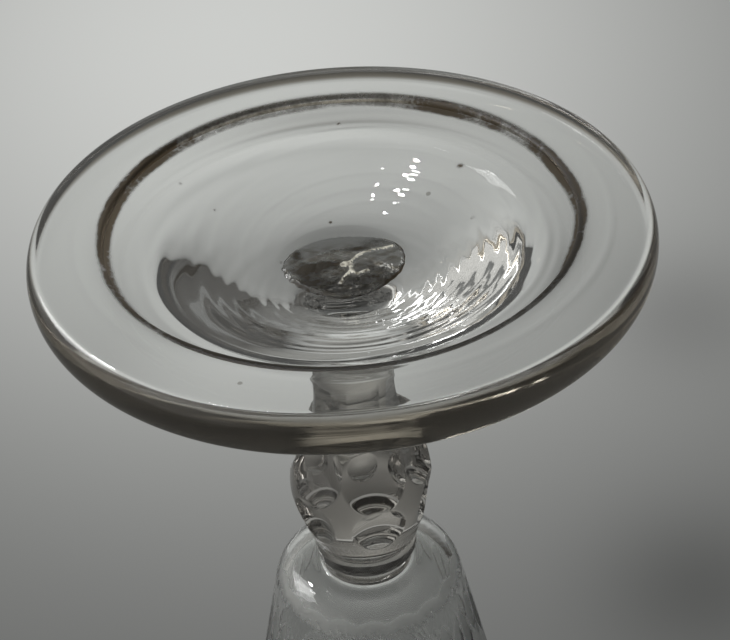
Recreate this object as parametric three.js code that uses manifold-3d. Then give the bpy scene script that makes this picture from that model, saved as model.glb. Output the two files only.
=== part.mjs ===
import * as THREE from 'three';
import { mergeVertices } from 'three/addons/utils/BufferGeometryUtils.js';
import Module from 'manifold-3d';

// An engraved goblet of clear soda glass, about 1750 in style, standing upright.
// Lengths are millimetres, +Z runs up the stem and z = 0 is the table.
// Each gather of glass that the maker joined hot is one mesh, and neighbours
// meet on flat discs, one stacked on the next: fold, foot, neck, knop, merese, bowl.

// Foot: a disc drawn up to the stem, with its edge turned under
const FOOT_RADIUS = 42;
const FOOT_HEIGHT = 27;
const FOOT_TOP_RADIUS = 6.6;
const RIM_THICKNESS = 6.2;
const RIM_ROUNDING = 1.8;
const KICK_HEIGHT = 8.3;

// How steep the foot is, in degrees, by the share of the way in: over it from the rim to the stem,
// and under it from the fold to the scar. The heights above set how far each climbs in all.
const TOP_SLOPES = [
  [0, 0], [0.214, 0.5], [0.289, 1.5], [0.333, 5], [0.369, 13], [0.408, 28], [0.452, 42], [0.527, 50],
  [0.631, 49], [0.75, 42], [0.869, 35], [0.929, 38], [0.964, 55], [0.988, 70], [1, 74],
];
const KICK_SLOPES = [
  [0, 8], [0.165, 10], [0.316, 14], [0.489, 20], [0.662, 22], [0.835, 20], [0.965, 13], [1, 9],
];

// Fold: the turned-under edge, which is what stands on the table
const FOLD_WIDTH = 10.5;
const FOLD_THICKNESS = 1.4;
const FOLD_LIP = 0.8;
const FOLD_RISE_WIDTH = 2.6;

// Pontil scar: the rough wad left where the foot was broken off its rod
const SCAR_RADIUS = 8.6;
const SCAR_THICKNESS = 1.2;
const SCAR_SEAT_MARGIN = 0.6;
const SCAR_SHOULDER = { reach: 0.85, drop: 0.4 };
const SCAR_CROWN = { reach: 0.45, drop: 0.85 };
const SCAR_UNEVENNESS = 0.05;

// Neck: a short six-sided waist between foot and knop
const NECK_LENGTH = 10;
const NECK_WAIST_RADIUS = 5.9;
const WELD_STEP = 0.3;

// Knop: a shouldered baluster with two rows of round cuts
const KNOP_LENGTH = 21;
const KNOP_BASE_RADIUS = 6.5;
const KNOP_SHOULDER = { radius: 9, height: 1.7 };
const KNOP_SWELL = { radius: 10.2, height: 6 };
const KNOP_RADIUS = 10.8;
const KNOP_WIDEST_AT = 11;
const KNOP_TAPER = { radius: 9.9, height: 15.6 };
const KNOP_TOP_RADIUS = 8.3;

// The cuts stand in columns above the neck's flats, the first column this far round from the Y axis
const CUTS_AROUND = 6;
const CUTS_TURNED = THREE.MathUtils.degToRad(12);
const LARGE_CUT = { ballRadius: 11, depth: 2.6, height: 3 };
const SMALL_CUT = { ballRadius: 9, depth: 1.8, height: 12.6 };

// Merese: the flat collar under the bowl
const MERESE_RADIUS = 7.9;
const MERESE_THICKNESS = 4;
const MERESE_EDGE = 0.7;

// Bowl: a flared bucket with a thick base
const BOWL_HEIGHT = 96;
const BOWL_RIM_RADIUS = 33;
const BOWL_FLARE = THREE.MathUtils.degToRad(11.5);
const BOWL_WALL = 2.2;
const BOWL_CORNER = 6;
const BOWL_INNER_CORNER = 4.3;
const BOWL_FLOOR = 5.2;
const STUB_RADIUS = 6.9;
const STUB_HEIGHT = 2.3;
const STUB_COVE = 1.2;

// Fineness of the faceted surfaces
const ROUND_SEGMENTS = 64;
const KNOP_SEGMENTS = 48;
const SCAR_SEGMENTS = 24;
const BALL_SEGMENTS = 36;
const ARC_STEPS = 5;
const CORNER_STEPS = 7;
const TOP_STEPS = 36;
const KICK_STEPS = 14;
const KNOP_STEPS = 20;

// Heights of the joints between the gathers
const neckBase = FOOT_HEIGHT;
const knopBase = neckBase + NECK_LENGTH;
const mereseBase = knopBase + KNOP_LENGTH;
const bowlBase = mereseBase + MERESE_THICKNESS;

// Radii that the foot, the fold and the scar share
const rimCentreRadius = FOOT_RADIUS - RIM_ROUNDING;
const rimCentreHeight = RIM_THICKNESS / 2;
const foldInnerRadius = FOOT_RADIUS - FOLD_WIDTH;
const weldInnerRadius = foldInnerRadius + FOLD_LIP;
const restInnerRadius = foldInnerRadius + FOLD_RISE_WIDTH;
const scarSeatRadius = SCAR_RADIUS + SCAR_SEAT_MARGIN;

const wasm = await Module();
wasm.setup();

function glassMaterial(colour, roughness) {
  return new THREE.MeshStandardMaterial({ color: colour, roughness, metalness: 0, transparent: true, opacity: 0.4 });
}

const clearGlass = glassMaterial(0xd6dbd9, 0.05);
const foldGlass = glassMaterial(0xcbcdc8, 0.08);
const roughGlass = glassMaterial(0x8f877a, 0.45);

// A point on the rim's rounded edge, at an angle from straight out
function rimPoint(angle) {
  const radius = rimCentreRadius + RIM_ROUNDING * Math.cos(angle);
  const height = rimCentreHeight + rimCentreHeight * Math.sin(angle);
  return new THREE.Vector2(radius, height);
}

// The stretch of the rim's rounded edge between two angles, ends included
function rimArc(from, to) {
  const points = [];
  for (let step = 0; step <= ARC_STEPS; step += 1) {
    points.push(rimPoint(from + (to - from) * step / ARC_STEPS));
  }
  return points;
}

// The angle at which the rim's edge crosses the top of the fold
const weldAngle = Math.asin((FOLD_THICKNESS - rimCentreHeight) / rimCentreHeight);

// Points along a curve with one control point, without its start
function bend(start, control, end) {
  const curve = new THREE.QuadraticBezierCurve(start, control, end);
  return curve.getPoints(ARC_STEPS).slice(1);
}

// Steepness as rise over run at a share of the way, read from a list of slopes
function steepnessAt(share, slopes) {
  const after = Math.max(1, slopes.findIndex(([place]) => place >= share));
  const [startPlace, startSlope] = slopes[after - 1];
  const [endPlace, endSlope] = slopes[after];
  const slope = THREE.MathUtils.mapLinear(share, startPlace, endPlace, startSlope, endSlope);
  return Math.tan(THREE.MathUtils.degToRad(slope));
}

// Points on a curve between two points, both included, that climbs as a list of slopes says
function climb(start, end, slopes, steps) {
  const rises = [0];
  for (let step = 1; step <= steps; step += 1) {
    rises.push(rises.at(-1) + steepnessAt((step - 0.5) / steps, slopes));
  }
  const points = [];
  for (let step = 0; step <= steps; step += 1) {
    const radius = THREE.MathUtils.lerp(start.x, end.x, step / steps);
    const height = THREE.MathUtils.lerp(start.y, end.y, rises[step] / rises[steps]);
    points.push(new THREE.Vector2(radius, height));
  }
  return points;
}

// A solid turned about +Z from an outline of (radius, height) points
function turned(outline, segments = ROUND_SEGMENTS) {
  const geometry = new THREE.LatheGeometry(outline, segments);
  geometry.rotateX(Math.PI / 2);
  return geometry;
}

// Foot: domed underside, flat ring welded to the fold, rounded rim, flat top and steep cone to the stem
function footOutline() {
  const kickCentre = new THREE.Vector2(0, KICK_HEIGHT);
  const seatEdge = new THREE.Vector2(scarSeatRadius, KICK_HEIGHT);
  const weldInner = new THREE.Vector2(weldInnerRadius, FOLD_THICKNESS);
  const rim = rimArc(weldAngle, Math.PI / 2);
  const stemEdge = new THREE.Vector2(FOOT_TOP_RADIUS, FOOT_HEIGHT);
  return [
    kickCentre,
    ...climb(weldInner, seatEdge, KICK_SLOPES, KICK_STEPS).reverse(),
    ...rim,
    ...climb(rim.at(-1), stemEdge, TOP_SLOPES, TOP_STEPS).slice(1),
    new THREE.Vector2(0, FOOT_HEIGHT),
  ];
}

// Fold: flat on the table, rounded outside, with a blunt lip at its inner edge
function foldOutline() {
  const restInner = new THREE.Vector2(restInnerRadius, 0);
  const lipNose = new THREE.Vector2(foldInnerRadius, FOLD_THICKNESS / 2);
  const weldInner = new THREE.Vector2(weldInnerRadius, FOLD_THICKNESS);
  const underLip = new THREE.Vector2(foldInnerRadius, 0);
  const overLip = new THREE.Vector2(foldInnerRadius, FOLD_THICKNESS);
  return [
    restInner,
    ...rimArc(-Math.PI / 2, weldAngle),
    weldInner,
    ...bend(weldInner, overLip, lipNose),
    ...bend(lipNose, underLip, restInner),
  ];
}

// Scar: a low uneven mound hanging from the middle of the underside
function scarGeometry() {
  const outline = [
    new THREE.Vector2(0, -SCAR_THICKNESS),
    new THREE.Vector2(SCAR_RADIUS * SCAR_CROWN.reach, -SCAR_THICKNESS * SCAR_CROWN.drop),
    new THREE.Vector2(SCAR_RADIUS * SCAR_SHOULDER.reach, -SCAR_THICKNESS * SCAR_SHOULDER.drop),
    new THREE.Vector2(SCAR_RADIUS, 0),
    new THREE.Vector2(0, 0),
  ];
  const geometry = turned(outline, SCAR_SEGMENTS);
  const position = geometry.attributes.position;
  for (let index = 0; index < position.count; index += 1) {
    const x = position.getX(index);
    const y = position.getY(index);
    const around = Math.atan2(y, x);
    const swell = 1 - SCAR_UNEVENNESS * (1 - Math.cos(3 * around)) / 2;
    position.setXY(index, x * swell, y * swell);
  }
  return geometry;
}

// Neck: a waist with a flat below each column of cuts, narrower than the discs that it stands between
function neckGeometry() {
  const bottom = new THREE.Vector2(FOOT_TOP_RADIUS - WELD_STEP, 0);
  const waist = new THREE.Vector2(NECK_WAIST_RADIUS, NECK_LENGTH / 2);
  const top = new THREE.Vector2(KNOP_BASE_RADIUS - WELD_STEP, NECK_LENGTH);
  const outline = [new THREE.Vector2(0, 0), bottom, waist, top, new THREE.Vector2(0, NECK_LENGTH)];
  const halfFlat = Math.PI / CUTS_AROUND;
  return turned(outline, CUTS_AROUND).rotateZ(Math.PI + halfFlat - CUTS_TURNED);
}

// The knop's turned shape, before it is cut
const knopCurve = new THREE.SplineCurve([
  new THREE.Vector2(KNOP_BASE_RADIUS, 0),
  new THREE.Vector2(KNOP_SHOULDER.radius, KNOP_SHOULDER.height),
  new THREE.Vector2(KNOP_SWELL.radius, KNOP_SWELL.height),
  new THREE.Vector2(KNOP_RADIUS, KNOP_WIDEST_AT),
  new THREE.Vector2(KNOP_TAPER.radius, KNOP_TAPER.height),
  new THREE.Vector2(KNOP_TOP_RADIUS, KNOP_LENGTH),
]);

// Where the knop's curve reaches a height, as a point and an outward direction
function knopSurfaceAt(height) {
  let low = 0;
  let high = 1;
  for (let step = 0; step < 30; step += 1) {
    const middle = (low + high) / 2;
    if (knopCurve.getPoint(middle).y < height) low = middle;
    else high = middle;
  }
  const tangent = knopCurve.getTangent(low);
  return { point: knopCurve.getPoint(low), outward: new THREE.Vector2(tangent.y, -tangent.x) };
}

// A closed mesh as a solid that can be cut
function asSolid(geometry) {
  const bare = geometry.clone();
  bare.deleteAttribute('normal');
  bare.deleteAttribute('uv');
  const merged = mergeVertices(bare, 1e-4);
  const corners = merged.index.array;
  const triangles = [];
  for (let index = 0; index < corners.length; index += 3) {
    const [a, b, c] = [corners[index], corners[index + 1], corners[index + 2]];
    if (a !== b && b !== c && c !== a) triangles.push(a, b, c);
  }
  return new wasm.Manifold(new wasm.Mesh({
    numProp: 3,
    vertProperties: new Float32Array(merged.attributes.position.array),
    triVerts: new Uint32Array(triangles),
  }));
}

function asGeometry(solid) {
  const mesh = solid.getMesh();
  const geometry = new THREE.BufferGeometry();
  geometry.setAttribute('position', new THREE.BufferAttribute(mesh.vertProperties, 3));
  geometry.setIndex(new THREE.BufferAttribute(mesh.triVerts, 1));
  geometry.computeVertexNormals();
  return geometry;
}

// The ball-shaped bite of a cutting wheel, sunk to the cut's depth below the knop's turned surface
function cuttingBall(cut, around) {
  const { point, outward } = knopSurfaceAt(cut.height);
  const reach = cut.ballRadius - cut.depth;
  const distance = point.x + outward.x * reach;
  const ball = new THREE.SphereGeometry(cut.ballRadius, BALL_SEGMENTS, BALL_SEGMENTS * 2 / 3);
  ball.rotateX(Math.PI / 2);
  ball.translate(distance, 0, point.y + outward.y * reach);
  ball.rotateZ(around);
  return asSolid(ball);
}

// Knop: the turned shape less its two rows of round cuts
function knopGeometry() {
  const side = knopCurve.getPoints(KNOP_STEPS);
  const outline = [new THREE.Vector2(0, 0), ...side, new THREE.Vector2(0, KNOP_LENGTH)];
  let knop = asSolid(turned(outline, KNOP_SEGMENTS));
  for (const cut of [LARGE_CUT, SMALL_CUT]) {
    for (let place = 0; place < CUTS_AROUND; place += 1) {
      const around = Math.PI / 2 - CUTS_TURNED + place * 2 * Math.PI / CUTS_AROUND;
      knop = knop.subtract(cuttingBall(cut, around));
    }
  }
  return asGeometry(knop);
}

// Merese: a short drum with both edges softened
function mereseOutline() {
  const top = MERESE_THICKNESS;
  const flat = MERESE_RADIUS - MERESE_EDGE;
  const lower = new THREE.Vector2(flat, 0);
  const upper = new THREE.Vector2(flat, top);
  return [
    new THREE.Vector2(0, 0),
    lower,
    new THREE.Vector2(MERESE_RADIUS, MERESE_EDGE),
    new THREE.Vector2(MERESE_RADIUS, top - MERESE_EDGE),
    upper,
    new THREE.Vector2(0, top),
  ];
}

// Bowl: radius of the outside of the flared wall at a height above the bowl's base
function wallRadius(height) {
  return BOWL_RIM_RADIUS - (BOWL_HEIGHT - height) * Math.tan(BOWL_FLARE);
}

// Centre of a circle that touches the wall line, set in from it, at a height
function insideWall(height, setIn) {
  return new THREE.Vector2(wallRadius(height) - setIn / Math.cos(BOWL_FLARE), height);
}

function arcPoints(centre, radius, from, to, steps = CORNER_STEPS) {
  const points = [];
  for (let step = 0; step <= steps; step += 1) {
    const angle = from + (to - from) * step / steps;
    points.push(new THREE.Vector2(centre.x + radius * Math.cos(angle), centre.y + radius * Math.sin(angle)));
  }
  return points;
}

function bowlOutline() {
  const lipRadius = BOWL_WALL / 2;
  const corner = insideWall(STUB_HEIGHT + BOWL_CORNER, BOWL_CORNER);
  const innerCorner = insideWall(BOWL_FLOOR + BOWL_INNER_CORNER, BOWL_WALL + BOWL_INNER_CORNER);
  const lip = insideWall(BOWL_HEIGHT - lipRadius, lipRadius);
  const coveStart = new THREE.Vector2(STUB_RADIUS, STUB_HEIGHT - STUB_COVE);
  const coveCorner = new THREE.Vector2(STUB_RADIUS, STUB_HEIGHT);
  const coveEnd = new THREE.Vector2(STUB_RADIUS + STUB_COVE, STUB_HEIGHT);
  return [
    new THREE.Vector2(0, 0),
    new THREE.Vector2(STUB_RADIUS, 0),
    coveStart,
    coveStart.clone().lerp(coveEnd, 0.5).lerp(coveCorner, 0.35),
    coveEnd,
    ...arcPoints(corner, BOWL_CORNER, -Math.PI / 2, -BOWL_FLARE),
    ...arcPoints(lip, lipRadius, -BOWL_FLARE, Math.PI - BOWL_FLARE),
    ...arcPoints(innerCorner, BOWL_INNER_CORNER, -BOWL_FLARE, -Math.PI / 2),
    new THREE.Vector2(0, BOWL_FLOOR),
  ];
}

function piece(name, geometry, material, height) {
  const mesh = new THREE.Mesh(geometry, material);
  mesh.name = name;
  mesh.position.z = height;
  return mesh;
}

const goblet = new THREE.Group();
goblet.add(
  piece('foot_fold', turned(foldOutline()), foldGlass, 0),
  piece('foot', turned(footOutline()), clearGlass, 0),
  piece('pontil_scar', scarGeometry(), roughGlass, KICK_HEIGHT),
  piece('stem_neck', neckGeometry(), clearGlass, neckBase),
  piece('knop', knopGeometry(), clearGlass, knopBase),
  piece('merese', turned(mereseOutline()), clearGlass, mereseBase),
  piece('bowl', turned(bowlOutline()), clearGlass, bowlBase),
);

export default goblet;
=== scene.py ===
# %% [markdown]
# # An engraved goblet, looked at from under its foot
#
# The real goblet is one mass of soda glass that was gathered, blown and joined hot, then cut and
# engraved on wheels. It stands upright here. The camera is low and looks up at the underside of the
# foot, and it is turned over, so that the picture shows the glass as it stands rim down on a table.
#
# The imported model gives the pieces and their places. This script gives them their fine surfaces.

import math

import bpy
import numpy as np
from mathutils import Matrix, Vector


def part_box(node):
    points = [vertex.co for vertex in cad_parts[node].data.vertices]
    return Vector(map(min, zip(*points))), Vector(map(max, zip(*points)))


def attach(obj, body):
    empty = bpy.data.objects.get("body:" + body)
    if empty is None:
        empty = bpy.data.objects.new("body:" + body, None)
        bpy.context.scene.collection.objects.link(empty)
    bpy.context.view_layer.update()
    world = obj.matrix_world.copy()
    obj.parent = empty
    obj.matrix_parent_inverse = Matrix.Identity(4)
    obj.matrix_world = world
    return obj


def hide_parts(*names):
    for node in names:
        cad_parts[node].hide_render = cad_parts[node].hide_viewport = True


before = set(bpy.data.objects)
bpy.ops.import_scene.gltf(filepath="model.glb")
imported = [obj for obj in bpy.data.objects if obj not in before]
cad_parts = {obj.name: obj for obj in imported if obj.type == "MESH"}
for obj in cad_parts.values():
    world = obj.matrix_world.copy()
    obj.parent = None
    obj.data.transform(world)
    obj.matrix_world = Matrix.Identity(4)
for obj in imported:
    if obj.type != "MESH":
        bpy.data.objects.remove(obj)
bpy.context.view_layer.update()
MM = 0.001
scene = bpy.context.scene
scene.view_settings.view_transform = "Standard"

# %% [markdown]
# ## The camera
#
# A round foot seen at an angle is an ellipse. Its flatness gives the camera's elevation, and the
# difference between its near and far halves gives the distance. The camera stands on the +Y side
# and below the table, and its up direction points down, which turns the glass over in the picture.

# %% Camera
IMAGE_WIDTH = 730
IMAGE_HEIGHT = 640
FOCAL_PIXELS = 1560
CAMERA_DISTANCE = 210
CAMERA_ELEVATION = math.radians(34.3)
CAMERA_ROLL = math.radians(-4.6)
AIM_HEIGHT = 3.5
AIM_PIXEL = (341.5, 235)
SENSOR_WIDTH = 36


def picture_axes(elevation, roll, aim_pixel):
    """Columns: the picture's right, its down and the way the camera looks, in the object's frame."""
    forward = Vector((0, -math.cos(elevation), math.sin(elevation)))
    right = Vector((1, 0, 0))
    down = forward.cross(right)
    straight = Matrix((right, down, forward)).transposed()
    rolled = Matrix.Rotation(-roll, 3, "Z")
    off_x = (aim_pixel[0] - IMAGE_WIDTH / 2) / FOCAL_PIXELS
    off_y = (aim_pixel[1] - IMAGE_HEIGHT / 2) / FOCAL_PIXELS
    aimed = Vector((0, 0, 1)).rotation_difference(Vector((off_x, off_y, 1))).to_matrix()
    return straight @ rolled @ aimed.transposed()


axes = picture_axes(CAMERA_ELEVATION, CAMERA_ROLL, AIM_PIXEL)
camera_data = bpy.data.cameras.new("camera")
camera_data.sensor_width = SENSOR_WIDTH
camera_data.lens = FOCAL_PIXELS * SENSOR_WIDTH / IMAGE_WIDTH
camera = bpy.data.objects.new("camera", camera_data)
scene.collection.objects.link(camera)
facing = Matrix((axes.col[0], -axes.col[1], -axes.col[2])).transposed().to_4x4()
reach = CAMERA_DISTANCE * MM
spot = (0, reach * math.cos(CAMERA_ELEVATION), AIM_HEIGHT * MM - reach * math.sin(CAMERA_ELEVATION))
camera.matrix_world = Matrix.Translation(spot) @ facing
scene.camera = camera
print("camera at", [round(v / MM, 1) for v in spot], "mm, lens", round(camera_data.lens, 1), "mm")

# %% [markdown]
# ## Wiring shader nodes
#
# A few helpers keep the shader code short. Each adds one node and fills its inputs with plain values
# or with other nodes' outputs: arithmetic on numbers or on vectors, a mix, or a soft step.

# %% Node helpers
def add_node(tree, kind, **settings):
    """Adds a node and sets its properties."""
    node = tree.nodes.new(kind)
    for name, value in settings.items():
        setattr(node, name, value)
    return node


def feed(tree, socket, value):
    """Gives an input either a link from another node or a plain value."""
    if isinstance(value, bpy.types.NodeSocket):
        tree.links.new(value, socket)
    else:
        socket.default_value = value


def calc(tree, operation, *values):
    """A Math node; each value is a number or a node's output."""
    node = add_node(tree, "ShaderNodeMath", operation=operation)
    for socket, value in zip(node.inputs, values):
        feed(tree, socket, value)
    return node.outputs[0]


def vector_calc(tree, operation, first, second):
    """A Vector Math node; distances and dot products come out as numbers."""
    node = add_node(tree, "ShaderNodeVectorMath", operation=operation)
    feed(tree, node.inputs[0], first)
    feed(tree, node.inputs["Scale" if operation == "SCALE" else 1], second)
    return node.outputs["Value" if operation in ("DOT_PRODUCT", "DISTANCE") else "Vector"]


def blend(tree, share, first, second, kind="RGBA"):
    """A Mix node between two numbers or two colours, each of which may be three plain numbers."""
    node = add_node(tree, "ShaderNodeMix", data_type=kind)
    *ends, result = {"RGBA": (6, 7, 2), "FLOAT": (2, 3, 0)}[kind]
    for index, value in zip((0, *ends), (share, first, second)):
        feed(tree, node.inputs[index], (*value, 1) if isinstance(value, tuple) else value)
    return node.outputs[result]


def ramp(tree, value, low, high):
    """0 below low, 1 above high and a soft step between."""
    node = add_node(tree, "ShaderNodeMapRange", interpolation_type="SMOOTHSTEP")
    for label, given in (("Value", value), ("From Min", low), ("From Max", high)):
        feed(tree, node.inputs[label], given)
    return node.outputs["Result"]


def new_material(name, empty=False):
    """A material and its node tree, which holds a Principled shader unless it is to be empty."""
    material = bpy.data.materials.new(name)
    material.use_nodes = True
    if empty:
        material.node_tree.nodes.clear()
    return material, material.node_tree


# %% [markdown]
# ## What surrounds the glass
#
# Glass has hardly any colour of its own. What it shows is what surrounds it, bent and mirrored, so
# the surroundings are worth as much care as the glass. The world's colour depends on the direction.
# The camera itself sees only a pale surface behind the glass, brightest at one side and falling off
# like a bell. Light that has met the glass sees a room: dark below the table and on the right, pale
# on the left, and grey where the camera looks.

# %% World
BACKDROP_TINT = (1.0, 1.015, 0.985)
BACKDROP_LEAST = 0.13
BACKDROP_GLOW = 0.47
GLOW_CENTRE = (231, 44)
GLOW_WIDTH = (536, 398)
# Two painted shadows: centre and width in the picture's pixels, and the share of light that is missing.
PAINTED_SHADOWS = [((681, 312), (90, 60), 0.25), ((700, 585), (110, 80), 0.38)]
# The least that a direction may reach forward, so that its slope stays finite.
LEAST_AHEAD = 0.3
BELOW_COLOUR = (0.075, 0.07, 0.06)
# Each further part of the room: its way, how far along it a direction has to go for the part to begin
# and to be complete, and its colour.
ROOM_PARTS = {
    "level": ((0, 0, 1), (-0.55, 0.0), (0.22, 0.22, 0.212)),
    "overhead": ((0, 0, 1), (0.05, 0.6), (0.16, 0.16, 0.155)),
    "right": ((1, 0, 0), (0.2, 0.65), (0.035, 0.032, 0.028)),
    "away": ((-0.3, -0.95, 0.05), (0.55, 0.95), (0.27, 0.27, 0.255)),
    "left": ((-0.95, 0.1, -0.28), (0.45, 0.9), (0.64, 0.63, 0.6)),
}

world = bpy.data.worlds.new("room")
world.use_nodes = True
scene.world = world


def bell(tree, pixel, centre, width):
    """exp(-(x/a)^2 - (y/b)^2), a smooth hill that is 1 at its centre."""
    square = 0.0
    for value, middle, reach in zip(pixel, centre, width):
        off = calc(tree, "DIVIDE", calc(tree, "SUBTRACT", value, middle), reach)
        square = calc(tree, "MULTIPLY_ADD", off, off, square)
    return calc(tree, "EXPONENT", calc(tree, "MULTIPLY", square, -1.0))


def backdrop_colour(tree, direction, least_ahead):
    """Colour of the pale surface behind the glass, in a direction from the main camera."""
    right, down, forward = axes.col
    ahead = calc(tree, "MAXIMUM", vector_calc(tree, "DOT_PRODUCT", direction, forward), least_ahead)
    pixel = []
    for way, size in ((right, IMAGE_WIDTH), (down, IMAGE_HEIGHT)):
        slope = calc(tree, "DIVIDE", vector_calc(tree, "DOT_PRODUCT", direction, way), ahead)
        pixel.append(calc(tree, "MULTIPLY_ADD", slope, FOCAL_PIXELS, size / 2))
    glow = bell(tree, pixel, GLOW_CENTRE, GLOW_WIDTH)
    bright = calc(tree, "MULTIPLY_ADD", glow, BACKDROP_GLOW, BACKDROP_LEAST)
    for centre, width, depth in PAINTED_SHADOWS:
        left = calc(tree, "MULTIPLY_ADD", bell(tree, pixel, centre, width), -depth, 1.0)
        bright = calc(tree, "MULTIPLY", bright, left)
    return vector_calc(tree, "SCALE", BACKDROP_TINT, bright)


def build_world(tree):
    """The room by direction, and the pale surface for what the camera sees directly."""
    tree.nodes.clear()
    direction = add_node(tree, "ShaderNodeTexCoord").outputs["Generated"]
    room = BELOW_COLOUR
    for way, reach, colour in ROOM_PARTS.values():
        along = vector_calc(tree, "DOT_PRODUCT", direction, Vector(way).normalized())
        room = blend(tree, ramp(tree, along, *reach), room, colour)
    seen_directly = add_node(tree, "ShaderNodeLightPath").outputs["Is Camera Ray"]
    background = add_node(tree, "ShaderNodeBackground")
    colour = blend(tree, seen_directly, room, backdrop_colour(tree, direction, LEAST_AHEAD))
    feed(tree, background.inputs["Color"], colour)
    tree.links.new(background.outputs[0], add_node(tree, "ShaderNodeOutputWorld").inputs["Surface"])


build_world(world.node_tree)
print("world nodes:", len(world.node_tree.nodes))

# %% [markdown]
# ## The surface behind the glass
#
# In the picture the glass stands rim down on a pale surface. Light that is bent by the glass reaches
# that surface at other places than a straight look would, so the surface is also there as a disc just
# above the rim. It glows as brightly as the camera would see it at each place, less a soft shadow of
# the glass, and more at one lit place behind it. Only light that has met the glass sees the disc.

# %% Backdrop disc
BACKDROP_HEIGHT = 159
BACKDROP_REACH = 1400
BACKDROP_FADE = (500, 1350)
BACKDROP_LEAST_AHEAD = 0.03
# A place in mm, the distances from it where a change begins to fade and is gone, and the change.
GLASS_SHADOW = ((0, -20, BACKDROP_HEIGHT), (35, 125), -0.36)
LIT_PLACE = ((-20, -158, BACKDROP_HEIGHT), (12, 56), 0.3)
DISC_RINGS = 24
DISC_SPOKES = 96


def staged_disc(name, reach, height, material):
    """A flat disc of the surroundings, each ring's radius growing as the square of its number."""
    radius = reach * MM * (np.arange(1, DISC_RINGS + 1) / DISC_RINGS) ** 2
    angle = np.linspace(0, 2 * np.pi, DISC_SPOKES, endpoint=False)
    x, y = np.outer(radius, np.cos(angle)), np.outer(radius, np.sin(angle))
    points = np.vstack([[0, 0, 0], np.stack([x, y, 0 * x], 2).reshape(-1, 3)]) + [0, 0, height * MM]
    spoke = np.arange(DISC_SPOKES)
    follow = (spoke + 1) % DISC_SPOKES
    near = 1 + DISC_SPOKES * np.arange(DISC_RINGS - 1)[:, None]
    far = near + DISC_SPOKES
    quads = np.stack([near + spoke, far + spoke, far + follow, near + follow], 2).reshape(-1, 4)
    fan = np.stack([0 * spoke, 1 + spoke, 1 + follow], 1)
    mesh = bpy.data.meshes.new(name)
    mesh.from_pydata(points.tolist(), [], quads.tolist() + fan.tolist())
    mesh.materials.append(material)
    disc = bpy.data.objects.new(name, mesh)
    scene.collection.objects.link(disc)
    return disc


def distance_fade(tree, start, end, centre=(0, 0, 0)):
    """0 nearer to a place than the start and 1 beyond the end, both in mm."""
    place = add_node(tree, "ShaderNodeTexCoord").outputs["Object"]
    return ramp(tree, vector_calc(tree, "DISTANCE", place, Vector(centre) * MM), start * MM, end * MM)


def one_sided(tree, surface, hidden):
    """A surface that is see-through where the hidden value is 1."""
    mix = add_node(tree, "ShaderNodeMixShader")
    feed(tree, mix.inputs[0], hidden)
    tree.links.new(surface, mix.inputs[1])
    tree.links.new(add_node(tree, "ShaderNodeBsdfTransparent").outputs[0], mix.inputs[2])
    tree.links.new(mix.outputs[0], add_node(tree, "ShaderNodeOutputMaterial").inputs["Surface"])


def backdrop_material():
    """Glows downwards with the brightness that the main camera would see at each place."""
    material, tree = new_material("pale_backdrop", empty=True)
    place = add_node(tree, "ShaderNodeTexCoord").outputs["Object"]
    from_camera = vector_calc(tree, "SUBTRACT", place, spot)
    share = 1.0
    for centre, reach, change in (GLASS_SHADOW, LIT_PLACE):
        away = distance_fade(tree, *reach, centre)
        share = calc(tree, "ADD", share, calc(tree, "MULTIPLY_ADD", away, -change, change))
    glow = add_node(tree, "ShaderNodeEmission")
    lit = backdrop_colour(tree, from_camera, BACKDROP_LEAST_AHEAD)
    feed(tree, glow.inputs["Color"], vector_calc(tree, "SCALE", lit, share))
    from_below = add_node(tree, "ShaderNodeNewGeometry").outputs["Backfacing"]
    from_above = calc(tree, "SUBTRACT", 1.0, from_below)
    hidden = calc(tree, "MAXIMUM", from_above, distance_fade(tree, *BACKDROP_FADE))
    one_sided(tree, glow.outputs[0], hidden)
    return material


backdrop = staged_disc("backdrop", BACKDROP_REACH, BACKDROP_HEIGHT, backdrop_material())
backdrop.visible_camera = False
backdrop.visible_diffuse = False
backdrop.visible_shadow = False
print("backdrop faces:", len(backdrop.data.polygons))

# %% [markdown]
# ## The table
#
# The goblet stands on a pale table. The camera looks up from below it, so the table must let that
# camera see through. It is drawn on its upper side only, and a ray that has already come up through
# it doesn't meet it again: such a ray has passed an odd number of clear faces, the table and two for
# each joint in the glass. Seen from above it is a plain surface that keeps the goblet's shadow.

# %% Table
TABLE_COLOUR = (0.78, 0.78, 0.765, 1)
TABLE_REACH = 1500
TABLE_FADE = (700, 1450)
TABLE_HEIGHT = -0.05


def table_material():
    """Paint that is hidden from below, from light that has come up through it, and far off."""
    material, tree = new_material("pale_table", empty=True)
    paint = add_node(tree, "ShaderNodeBsdfDiffuse")
    paint.inputs["Color"].default_value = TABLE_COLOUR
    from_below = add_node(tree, "ShaderNodeNewGeometry").outputs["Backfacing"]
    passed = add_node(tree, "ShaderNodeLightPath").outputs["Transparent Depth"]
    hidden = calc(tree, "MAXIMUM", from_below, calc(tree, "MODULO", passed, 2.0))
    one_sided(tree, paint.outputs[0], calc(tree, "MAXIMUM", hidden, distance_fade(tree, *TABLE_FADE)))
    return material


table = staged_disc("table", TABLE_REACH, TABLE_HEIGHT, table_material())
print("table faces:", len(table.data.polygons))

# %% [markdown]
# ## The lamps
#
# Over the table hangs one large soft lamp, which lights the goblet in the ordinary views. The others
# are under the table, which is the picture's upper half because the picture is turned over. On the
# left, behind the glass, are a window of two panes, three small lamps on the ceiling and one on the
# wall: the foot mirrors them as bright streaks and stars. A wide weak fill on the camera's side gives
# the glass its faint veil. Glass doesn't mirror the overhead lamp or the fill.

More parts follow.
